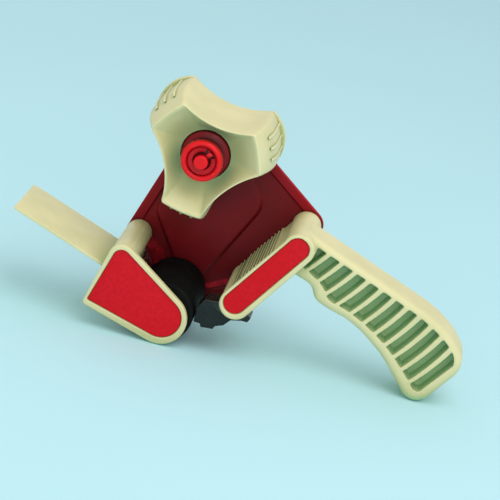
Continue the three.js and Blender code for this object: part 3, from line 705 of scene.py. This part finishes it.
def core_hub():
    rim_out = hub_wall(HUB_NEAR)
    rim_in = lobed(30.6, 19.5, 0.4)
    heights = np.linspace(HUB_FAR + 0.4, HUB_NEAR - 0.45, 24)
    rings = [(hub_wall(height), height) for height in heights]
    for share, drop in ((0.15, 0.15), (0.5, 0), (0.85, 0.12)):
        rings.append((rim_out + (rim_in - rim_out) * share, HUB_NEAR - drop))
    for share in np.linspace(1, 0, 26):
        level = HUB_MOUTH + (HUB_NEAR - HUB_MOUTH) * share ** 1.25
        radius = HUB_MOUTH_RADIUS + 0.3 + (rim_in - HUB_MOUTH_RADIUS - 0.3) * share
        rings.append((radius, min(level, HUB_NEAR - 0.4)))
    bore, shaft, tube = HUB_MOUTH_RADIUS, AXLE_RADIUS + 0.2, HUB_TUBE_RADIUS
    low, high = HUB_WEB
    inside = [(bore + 0.1, 36.9), (bore, 36.6), (bore, high + 0.6), (bore - 0.6, high), (shaft + 0.3, high)]
    inside += [(shaft, high - 0.3), (shaft, low + 0.3), (shaft + 0.3, low), (bore - 0.6, low)]
    inside += [(bore, low - 0.6)]
    inside += [(bore, HUB_FAR + 0.3), (bore + 0.3, HUB_FAR), (tube - 0.3, HUB_FAR), (tube, HUB_FAR + 0.3)]
    inside += [(tube, HUB_CEILING - 0.8), (tube + 0.8, HUB_CEILING)]
    rings += [(np.full(HUB_STEPS, radius), height) for radius, height in inside]
    narrow = HUB_LOBE_HALF - 2.6
    rings.append((lobed(31.7, 18.3, 0.8, narrow), HUB_CEILING))
    for share in np.linspace(0, 1, 6):
        wall = lobed(32.5 + 2.2 * share, 19.1 + 1.1 * share, 0.8 + 0.2 * share, narrow)
        rings.append((wall, HUB_CEILING - 0.8 - share * (HUB_CEILING - HUB_FAR - 1.1)))
    rings += [(lobed(35.0, 20.5, 1, narrow), HUB_FAR), (hub_wall(HUB_FAR) - 0.4, HUB_FAR)]
    x, y = np.cos(hub_angles), np.sin(hub_angles)
    loops = [[*zip(x * radius, y * radius, [height] * HUB_STEPS)] for radius, height in rings]
    hub = skin(loops, ring=True)
    grips = [core_rib(lobe + angle) for lobe in HUB_LOBES for angle in CORE_RIB_ANGLES]
    stops = [core_stop(lobe) for lobe in HUB_LOBES]
    ribs = [waist_rib(lobe + 60) for lobe in HUB_LOBES]
    return combine(hub, join=[*grips, *stops, *ribs])


def core_rib(angle):
    """A rib along a lobe's end that grips the tape's core, proudest next to the core stop"""
    half = CORE_RIB_THICKNESS / 2
    loops = []
    for inset, side in round_ends(-half, half, 0.35, 3):
        points, normals = outline_of(CORE_RIB)
        loops.append([(radius, side, height) for radius, height in points - inset * normals])
    return moved(skin(loops), turned_to(angle))


def core_stop(lobe):
    """The low flange behind a lobe that the tape's core stops against"""
    crown = [(39 - 4.2 * t ** 2, 12.6 * t) for t in np.linspace(-1, 1, 25)]
    outline = outline_of([(34.4, 12), (34.4, -12), *crown])
    return moved(prism(outline, round_ends(HUB_FAR + 0.01, HUB_FLANGE_TOP, 0.35)), turned_to(lobe))


def waist_rib(angle):
    """The rib that ties a waist to the tube round the axle"""
    near, far = (HUB_TUBE_RADIUS - 0.5, -1, HUB_FAR + 1), (WAIST_RIB_END, 1, HUB_CEILING + 0.5)
    return moved(block(near, far), turned_to(angle))


place(core_hub(), "core_hub", "hub", "cream_plastic", 32)

# ---- Axle, brake and knob ----------------------------------------------------------------------


def hexagon(across_flats, low, high, edge):
    corners = [(across_flats / math.sqrt(3) * math.cos(math.pi * i / 3),
                across_flats / math.sqrt(3) * math.sin(math.pi * i / 3)) for i in range(6)]
    return prism(outline_of(soften(corners, edge)), round_ends(low, high, edge / 2, 2))


def hub_axle():
    base, radius = -HEAD_GAP, AXLE_RADIUS
    head = [(0, base - 2.6), (3, base - 2.6), (6, base - 2.1), (8, base - 0.8), (8, base)]
    shank = [(radius, base), (radius, AXLE_END - 1), (radius - 1, AXLE_END), (0, AXLE_END)]
    socket = hexagon(5, base - 4, base - 0.9, 0.3)
    return combine(turned([*head, *shank]), cut=[socket])


def axle_nut():
    low, high = PLATE_DISH_RISE + GAP, 8
    corners = [(0, low - 1), (6.2, low - 1), (7.7, low + 0.9), (7.7, high - 0.9)]
    chamfer = turned([*corners, (6.2, high + 0.2), (0, high + 0.2)])
    bore = rod((0, 0), AXLE_RADIUS + 0.2, 0, 9)
    return combine(hexagon(13, low, high, 0.3), common=[chamfer], cut=[bore])


def coil_spring():
    """A round wire wound from one end to the other"""
    steps, sides = round(36 * SPRING_TURNS), 14
    low, high = SPRING_ENDS
    loops = []
    for i in range(steps + 1):
        share = i / steps
        angle = 2 * math.pi * SPRING_TURNS * share
        out = Vector((math.cos(angle), math.sin(angle), 0))
        centre = out * SPRING_RADIUS + Vector((0, 0, low + (high - low) * share))
        section = [2 * math.pi * k / sides for k in range(sides)]
        wire = [out * math.cos(a) + Vector((0, 0, math.sin(a))) for a in section]
        loops.append([centre + SPRING_WIRE * point for point in wire])
    return skin(loops)


def tension_collar():
    inner = AXLE_RADIUS + 0.4
    skirt = [(inner, 33), (6.2, 33), (6.2, 36.6), (10.6, 36.6), (10.6, 33), (13.1, 33), (13.1, 37.3)]
    top = KNOB_BASE - 0.4
    return turned([*skirt, (12.4, 38), (9.2, 38.4), (8.6, top), (inner, top)], edge=0.4)


def tension_knob():
    skirt = [(6.8, 0), (10.2, 0), (10.5, 3.9), (11.2, 6.8), (11.2, 9.1), (10.7, 10.3)]
    skirt += [(9.6, 10.9), (8.5, 10.6)]
    cup = [(7.8, 9.9), (7.5, 8.8), (4.6, 8.8), (4.6, 7.5), (6.8, 7.5)]
    shell = turned([(radius, KNOB_BASE + rise) for radius, rise in (*skirt, *cup)], edge=0.7)
    low = KNOB_BASE + 7.4
    notches = []
    for side in (-KEY_NOTCH_ANGLE, KEY_NOTCH_ANGLE):
        notches.append(moved(block((3.5, -0.6, low), (7.1, 0.6, low + 2)), turned_to(KEY_ANGLE + side)))
    return combine(shell, cut=notches)


def knob_insert():
    low, high = KNOB_BASE + 0.4, KNOB_BASE + 5.6
    return combine(hexagon(11, low, high, 0.4), cut=[rod((0, 0), AXLE_RADIUS + 0.15, low - 1, high + 1)])


def knob_plug():
    pin = [(0, 6), (6.3, 6), (6.3, 7.1), (3.8, 7.1), (3.8, 12.9), (3.3, 13.4), (0, 13.4)]
    body = turned([(radius, KNOB_BASE + rise) for radius, rise in pin], edge=0.35)
    key = moved(block((3, -1, KNOB_BASE + 9.1), (6.8, 1, KNOB_BASE + 10)), turned_to(KEY_ANGLE))
    return combine(body, join=[key])


clear = AXLE_RADIUS + 0.2
place(hub_axle(), "hub_axle", "frame", "steel")
place(axle_nut(), "axle_nut", "frame", "steel")
place(washer((0, 0), clear, 6.2, 8 + GAP, 15.6), "axle_spacer", "frame", "steel")
place(washer((0, 0), clear, 11.5, 15.9, HUB_WEB[0] - GAP), "brake_washer", "frame", "fibre")
place(washer((0, 0), clear, 11, HUB_WEB[1] + GAP, 22, 0.2), "spring_seat", "frame", "steel")
spring = place(coil_spring(), "brake_spring", "collar", "steel", 60)
place(tension_collar(), "tension_collar", "collar", "red_plastic", 40)
place(tension_knob(), "tension_knob", "knob", "red_plastic", 40)
place(knob_insert(), "knob_insert", "knob", "brass")
place(knob_plug(), "knob_plug", "knob", "red_plastic", 40)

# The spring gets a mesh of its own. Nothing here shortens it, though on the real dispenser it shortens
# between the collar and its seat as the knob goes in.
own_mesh(spring)

# ---- Roller ------------------------------------------------------------------------------------


def roller_core():
    low, high = ROLLER_ENDS
    inner, outer = ROLLER_AXLE_RADIUS + 0.15, ROLLER_CORE_RADIUS
    profile = [(inner, low), (7, low), (7, low + 2), (outer - 0.5, low + 2), (outer, low + 0.5)]
    profile += [(outer, high - 0.5), (outer - 0.5, high - 2), (7, high - 2), (7, high), (inner, high)]
    return turned(profile, ROLLER)


def roller_tyre():
    low, high = ROLLER_ENDS
    inner, outer = ROLLER_CORE_RADIUS + GAP, ROLLER_RADIUS
    profile = [(inner, low), (outer - 1, low), (outer, low + 1), (outer, high - 1)]
    return turned([*profile, (outer - 1, high), (inner, high)], ROLLER, edge=0.5, steps=160)


def roller_axle():
    base, radius = -HEAD_GAP, ROLLER_AXLE_RADIUS
    head = [(0, base - 1.6), (2.5, base - 1.5), (4.3, base - 1.1), (5.5, base - 0.3), (5.5, base)]
    return turned([*head, (radius, base), (radius, AXLE_SEAT - GAP), (0, AXLE_SEAT - GAP)], ROLLER)


place(roller_axle(), "roller_axle", "frame", "steel")
place(washer(ROLLER, ROLLER_AXLE_RADIUS + 0.2, 6.5, 0.3, 1.5), "roller_washer", "frame", "steel")
place(roller_core(), "roller_core", "roller", "black_plastic")
place(roller_tyre(), "roller_tyre", "roller", "roller_rubber", 50)

# ---- Nose: cheek, cross tube, flap and blade -----------------------------------------------------

flap_frame = Matrix.Translation((*FLAP_ROOT, 0)) @ Matrix.Rotation(math.radians(FLAP_SLOPE), 4, "Z")


def along_flap(along, above):
    """A point at a distance along the flap's line and another square to it"""
    return (flap_frame @ Vector((along, above, 0))).xy


def nose_housing():
    cheek = prism(round_hull(CHEEK_CIRCLES), round_ends(CHEEK_INNER, CHEEK_OUTER, 0.9, 6))
    inset = round_hull([(x, y, radius + 0.25) for x, y, radius in CHEEK_LABEL_CIRCLES])
    face = CHEEK_OUTER
    recess = prism(inset, [(0, face - LABEL_DEPTH), (0, face - 0.3), (-0.35, face + 0.05), (-0.35, face + 1)])
    tube = rod(TUBE, TUBE_RADIUS, BAR_ENDS[0], CHEEK_INNER + 1, 0.4)
    edge = BLADE_PLANE - GAP
    bed_outline = [along_flap(4.5, 1.6), along_flap(4.5, -4), (edge, -82.5), (edge, -68)]
    bed_outline += [(-29, -63), (-35, -64)]
    bed = prism(outline_of(soften(bed_outline, 0.5)), round_ends(TAPE_INNER, CHEEK_INNER + 1, 0.3, 2))
    socket = rod(along_flap(FLAP_BEAD, 0), FLAP_BEAD_RADIUS + 0.25, TAPE_INNER - 1, CHEEK_INNER - GAP)
    mouth_corners = ((FLAP_BEAD, 0.9), (-2, 3.6), (-2, -3.6), (FLAP_BEAD, -0.9))
    mouth_outline = outline_of([along_flap(*corner) for corner in mouth_corners])
    mouth = prism(mouth_outline, straight(TAPE_INNER - 1, CHEEK_INNER - GAP))
    holes = blade_holes(edge - 7, edge + 1)
    axle_seat = rod(ROLLER, ROLLER_AXLE_RADIUS + GAP, CHEEK_INNER - 1, AXLE_SEAT)
    plate_hole = rod(TUBE, SCREW_RADIUS + GAP, 0, SCREW_LENGTH)
    body = combine(cheek, join=[tube, bed])
    return combine(body, cut=[recess, socket, mouth, axle_seat, plate_hole, *holes])


def cross_rod(x0, x1, height, radius):
    """A plain rod along x at the blade screws' level"""
    turn = Matrix.Translation((x0, BLADE_SCREW_Y, height)) @ Matrix.Rotation(math.pi / 2, 4, "Y")
    return moved(rod((0, 0), radius, 0, x1 - x0, steps=48), turn)


def blade_holes(x0, x1):
    return [cross_rod(x0, x1, height, BLADE_HOLE_RADIUS) for height in BLADE_SCREWS]


def wiper_flap():
    """A springy tongue that thins towards its end and turns on a bead"""
    half, thin, low = FLAP_THICKNESS / 2, 0.5, TAPE_INNER + 0.5
    upper = [(FLAP_BEAD, half), (-FLAP_LENGTH + 4, half), (-FLAP_LENGTH, thin)]
    lower = [(x, -y) for x, y in reversed(upper)]
    outline = outline_of(soften([along_flap(*point) for point in (*upper, *lower)], 0.35))
    tongue = prism(outline, round_ends(low, TAPE_OUTER, 0.35, 3))
    bead = rod(along_flap(FLAP_BEAD, 0), FLAP_BEAD_RADIUS, low, TAPE_OUTER, 0.3)
    return combine(tongue, join=[bead])


def cutter_blade():
    """A toothed sheet, its teeth ground to an edge from one face"""
    low = TAPE_INNER + 0.5
    pitch = (TAPE_OUTER - low) / BLADE_TEETH
    flat = [(BLADE_TOP, TAPE_OUTER), (BLADE_TOP, low)]
    ground = list(flat)
    for i in range(BLADE_TEETH):
        start, middle = low + i * pitch, low + (i + 0.5) * pitch
        flat += [(BLADE_TIP + BLADE_TOOTH, start), (BLADE_TIP, middle)]
        ground += [(BLADE_TIP + BLADE_TOOTH + 1.1, start), (BLADE_TIP + 1.5, middle)]
    flat.append((BLADE_TIP + BLADE_TOOTH, TAPE_OUTER))
    ground.append((BLADE_TIP + BLADE_TOOTH + 1.1, TAPE_OUTER))
    faces = [(BLADE_PLANE, flat), (BLADE_PLANE + 0.12, flat), (BLADE_PLANE + BLADE_THICKNESS, ground)]
    sheet = skin([[(x, y, height) for y, height in outline] for x, outline in faces])
    return combine(sheet, cut=blade_holes(BLADE_PLANE - 1, BLADE_PLANE + 3))


def blade_clamp():
    """A strip with rounded corners, drawn across the blade's width"""
    near, far = CLAMP_FACES
    low, high = TAPE_INNER + 1, TAPE_OUTER - 1
    points, normals = outline_of(soften([(-82, low), (-73, low), (-73, high), (-82, high)], 1.5, 6))
    loops = []
    for inset, x in round_ends(near, far, 0.3, 3):
        loops.append([(x, y, height) for y, height in points - inset * normals])
    return combine(skin(loops), cut=blade_holes(near - 1, far + 1))


def blade_screw(height):
    seat = CLAMP_FACES[1] + GAP
    turn = Matrix.Translation((seat, BLADE_SCREW_Y, height)) @ Matrix.Rotation(-math.pi / 2, 4, "Y")
    return moved(screw(2.8, 1.4, 8, 1.4, 0.5), turn)


label_floor = CHEEK_OUTER - LABEL_DEPTH + 0.25
place(nose_housing(), "nose_housing", "frame", "cream_plastic", 30)
place(prism(round_hull(CHEEK_LABEL_CIRCLES), round_ends(label_floor, label_floor + LABEL_THICKNESS, 0.3)),
      "nose_label", "frame", "red_label", 50)
place(wiper_flap(), "wiper_flap", "flap", "cream_plastic")
place(cutter_blade(), "cutter_blade", "frame", "blade_steel", 15)
place(blade_clamp(), "blade_clamp", "frame", "steel")
for number, height in enumerate(BLADE_SCREWS, 1):
    place(blade_screw(height), f"blade_screw_{number}", "frame", "steel")

# ---- Handle ------------------------------------------------------------------------------------

bar_angle = math.atan2(BAR_TOP[1] - BAR_FOOT[1], BAR_TOP[0] - BAR_FOOT[0])
bar_frame = Matrix.Translation((*BAR_FOOT, 0)) @ Matrix.Rotation(bar_angle, 4, "Z")
across_ribs = Matrix.Rotation(math.radians(RIB_SLOPE - 90), 4, "Z")

PALM = [(62.8, -27.4), (94.2, -39.4), (123.3, -50.6), (137.4, -56.4), (150, -64.8), (157.9, -74),
        (159.2, -80), (157.4, -85.6)]
GRIP_HEEL = (146.2, -101.6)
GRIP_CORNER = (139.5, -108.5)
GRIP_TOE = (132.2, -102.6)
FINGERS = [GRIP_TOE, (118.3, -86.8), (109.1, -79.1), (100.4, -73.2), (92.3, -69.4), (83, -66.8),
           (74.8, -63.2), (70.2, -56.2), (61, -52.6)]
POCKET_PALM = [(60, -30.3), (92.8, -42.7), (121.9, -53.9), (133.3, -58.7), (146, -66.3), (153.2, -73.2),
               (155.1, -79.2)]
POCKET_HEEL = (141.6, -98.2)
POCKET_CORNER = (139.2, -99.8)
POCKET_TOE = (136.9, -97.7)
POCKET_FINGERS = [POCKET_TOE, (130.4, -90.4), (117.6, -78.4), (104.1, -69.6), (92.6, -64.2), (82, -60.8),
                  (76.6, -54.2), (66, -47.2)]


def along_bar(along, out):
    """A point at a distance from the bar's foot and another square to the bar, towards the roll"""
    return (bar_frame @ Vector((along, out, 0))).xy


def guide_ridges():
    """Two tools for the face that the tape passes: narrow rounded ridges, and a cutter for what
    lies above them"""
    steps = 12
    wave = []
    for i in range(RIDGES * steps + 1):
        share = i / steps
        crown = BAR_RADIUS + 0.6 * math.sin(math.pi * share / RIDGES)
        height = math.sin(math.pi * share) ** 2
        wave.append(along_bar(share * RIDGE_PITCH, RIDGE_ROOT + (crown - RIDGE_ROOT) * height))
    length = RIDGES * RIDGE_PITCH
    top = BAR_ENDS[1] - BAR_FLANGE
    ridged = outline_of([along_bar(-2, 4), *wave, along_bar(length + 2, 4)])
    cleared = outline_of([*wave, along_bar(length, 12), along_bar(0, 12)])
    low = BAR_ENDS[0]
    return prism(ridged, straight(low, top + 0.2)), prism(cleared, straight(low - 1, top))


def mark_valley_shade(body):
    """Marks what lies below the ridges' crowns, for the painted shade between the ridges"""
    spots = np.array([bar_frame.inverted() @ v.co for v in body.data.vertices])
    along, out, height = spots.T
    length = RIDGES * RIDGE_PITCH
    crown = BAR_RADIUS + 0.6 * np.sin(np.pi * np.clip(along / length, 0, 1))
    ridged = (along > 0.5) & (along < length - 0.5) & (out > 4) & (height < BAR_ENDS[1] - BAR_FLANGE - 0.4)
    return mark(body, VALLEY_SHADE, ridged * (crown - 0.25 - out) / 0.8)


def rib(index):
    """One rib between the pockets: it bows towards the grip's heel and thins towards the fingers"""
    centre = RIB_FIRST + index * RIB_PITCH
    near, far = [], []
    for along in np.linspace(-14, 44, 30):
        bow = 0.4 - (along - 15) ** 2 / (2 * RIB_BOW)
        half = 1.1 + 0.4 * min(1, max(0, along / 28))
        near.append((centre + bow - half, along))
        far.append((centre + bow + half, along))
    outline = outline_of([*near, *reversed(far)])
    return moved(prism(outline, straight(GRIP_ENDS[0] - 5, GRIP_ENDS[1] + 5)), across_ribs)


def pockets(low, high):
    """A cutter for the pockets on one side of the grip"""
    corner = bend(POCKET_HEEL, POCKET_CORNER, POCKET_TOE)
    line = [*spline(POCKET_PALM), *corner, *spline(POCKET_FINGERS), Vector((56, -46))]
    wall = prism(capsule((BAR_TOP, BAR_FOOT), BAR_RADIUS + 1.8), straight(low - 1, high + 1))
    return combine(prism(outline_of(line), straight(low, high)), cut=[wall, *[rib(i) for i in range(RIBS)]])


def handle():
    low, high = BAR_ENDS
    line = [*spline(PALM), Vector(GRIP_HEEL), *bend(GRIP_HEEL, GRIP_CORNER, GRIP_TOE), *spline(FINGERS)]
    grip_outline = outline_of([*line, Vector((50, -52)), Vector((52, -38))])
    grip = prism(grip_outline, round_ends(*GRIP_ENDS, GRIP_EDGE, 8))
    ridges, above = guide_ridges()
    parts = [
        prism(round_hull(BAR_FLANGE_CIRCLES), round_ends(high - BAR_FLANGE, high, 0.9, 5)),
        rod(BAR_TOP, BAR_RADIUS + 0.3, low, high - 1),
        rod(BAR_FOOT, BAR_RADIUS, low, high - 1),
        ridges,
        grip,
    ]
    bar = prism(capsule((BAR_TOP, BAR_FOOT), BAR_RADIUS - RIDGE_HEIGHT), straight(low, high - 1))
    body = combine(combine(bar, cut=[above]), join=parts)
    label_room = capsule((BAR_TOP, BAR_FOOT), BAR_LABEL_RADIUS + 0.25)
    recess = prism(label_room, straight(high - LABEL_DEPTH, high + 1))
    holes = [rod(centre, SCREW_RADIUS + GAP, 0, SCREW_LENGTH) for centre in (BAR_TOP, BAR_FOOT)]
    sides = [pockets(GRIP_WEB[1], GRIP_ENDS[1] + 1), pockets(GRIP_ENDS[0] - 1, GRIP_WEB[0])]
    return mark_valley_shade(moulded(combine(body, cut=[recess, *sides, *holes])))


def tape_retainer():
    """The bracket that wraps the bar's foot and keeps the tape against the roller"""
    outline = [(14.6, -80.9), (17.6, -75.6), (26.2, -75), (36.2, -75), (41.2, -77.6), (43.9, -79.7),
               (42.6, -82.4), (39.5, -82.3), (33.6, -83.6), (30.5, -87.4), (26, -89.2), (25.4, -91),
               (18.4, -91.6), (18, -89.8), (14.2, -89.6)]
    body = prism(outline_of(soften(outline, 0.6)), round_ends(34, 45.8, 0.4, 3))
    room = prism(round_hull([(x, y, radius + GAP) for x, y, radius in BAR_FLANGE_CIRCLES]), straight(30, 50))
    return combine(body, cut=[room])


bar_label_floor = BAR_ENDS[1] - LABEL_DEPTH + 0.25
place(handle(), "handle", "frame", "cream_plastic", 70)
bar_label_ends = round_ends(bar_label_floor, bar_label_floor + LABEL_THICKNESS, 0.3)
guide_label = prism(capsule((BAR_TOP, BAR_FOOT), BAR_LABEL_RADIUS), bar_label_ends)
place(guide_label, "guide_label", "frame", "red_label", 50)
place(tape_retainer(), "tape_retainer", "frame", "black_plastic", 12)

for node, centre in (("nose_screw", TUBE), ("handle_screw_1", BAR_TOP), ("handle_screw_2", BAR_FOOT)):
    body = screw(SCREW_HEAD_RADIUS, SCREW_RADIUS, SCREW_LENGTH + HEAD_GAP, 2.2)
    place(moved(body, Matrix.Translation((*centre, -HEAD_GAP))), node, "frame", "steel")

# ---- Floor, light and camera ---------------------------------------------------------------------

FLOOR_SIZE = 30.0


def floor():
    """A wide plain floor, which is all that shows behind the dispenser"""
    half = FLOOR_SIZE / 2
    mesh = bpy.data.meshes.new("floor")
    corners = [(-half, -half, 0), (half, -half, 0), (half, half, 0), (-half, half, 0)]
    mesh.from_pydata(corners, [], [(0, 1, 2, 3)])
    obj = bpy.data.objects.new("floor", mesh)
    bpy.context.scene.collection.objects.link(obj)
    finish = Finish("floor")
    tone = finish.span(finish.noise(3, 2), 0.3, 0.7)
    finish.paint(finish.mix(tone, srgb(184, 227, 235), srgb(186, 229, 237)))
    mesh.materials.append(finish.sockets(Roughness=0.9))


def area_light(name, direction, distance, size, power, colour):
    data = bpy.data.lights.new(name, "AREA")
    data.size, data.energy, data.color = size, power, colour
    lamp = bpy.data.objects.new(name, data)
    bpy.context.scene.collection.objects.link(lamp)
    towards = Vector(direction).normalized()
    lamp.location = towards * distance
    lamp.rotation_mode = "QUATERNION"
    lamp.rotation_quaternion = towards.to_track_quat("Z", "Y")


def surroundings():
    world = bpy.data.worlds.new("soft_room")
    bpy.context.scene.world = world
    world.use_nodes = True
    background = world.node_tree.nodes["Background"]
    background.inputs["Color"].default_value = (0.97, 0.99, 1.0, 1)
    background.inputs["Strength"].default_value = 0.76
    area_light("key", (0.35, -0.45, 1.0), 1.7, 1.4, 12, (1.0, 0.98, 0.94))
    area_light("fill", (0.1, -1.0, 0.3), 2.2, 1.0, 8, (1.0, 0.99, 0.96))


def camera():
    """Looks down at the open side from a little to the right, tilted clockwise"""
    azimuth, elevation, roll = (math.radians(angle) for angle in (3.34, 18.61, 13.4))
    distance, aim = 1.0536, Vector((0.0008, 0, 0.0561))
    level = Vector((math.cos(azimuth), math.sin(azimuth), 0))
    ahead = Vector((math.sin(azimuth), -math.cos(azimuth), 0))
    back = ahead * math.cos(elevation) + Vector((0, 0, math.sin(elevation)))
    right = level * math.cos(roll) + back.cross(level) * math.sin(roll)
    data = bpy.data.cameras.new("camera")
    data.lens, data.sensor_width = 140.4, 36
    obj = bpy.data.objects.new("camera", data)
    bpy.context.scene.collection.objects.link(obj)
    axes = Matrix((right, back.cross(right), back)).transposed()
    obj.matrix_world = Matrix.Translation(aim + back * distance) @ axes.to_4x4()
    bpy.context.scene.camera = obj


floor()
surroundings()
camera()
bpy.context.scene.view_settings.view_transform = "Standard"
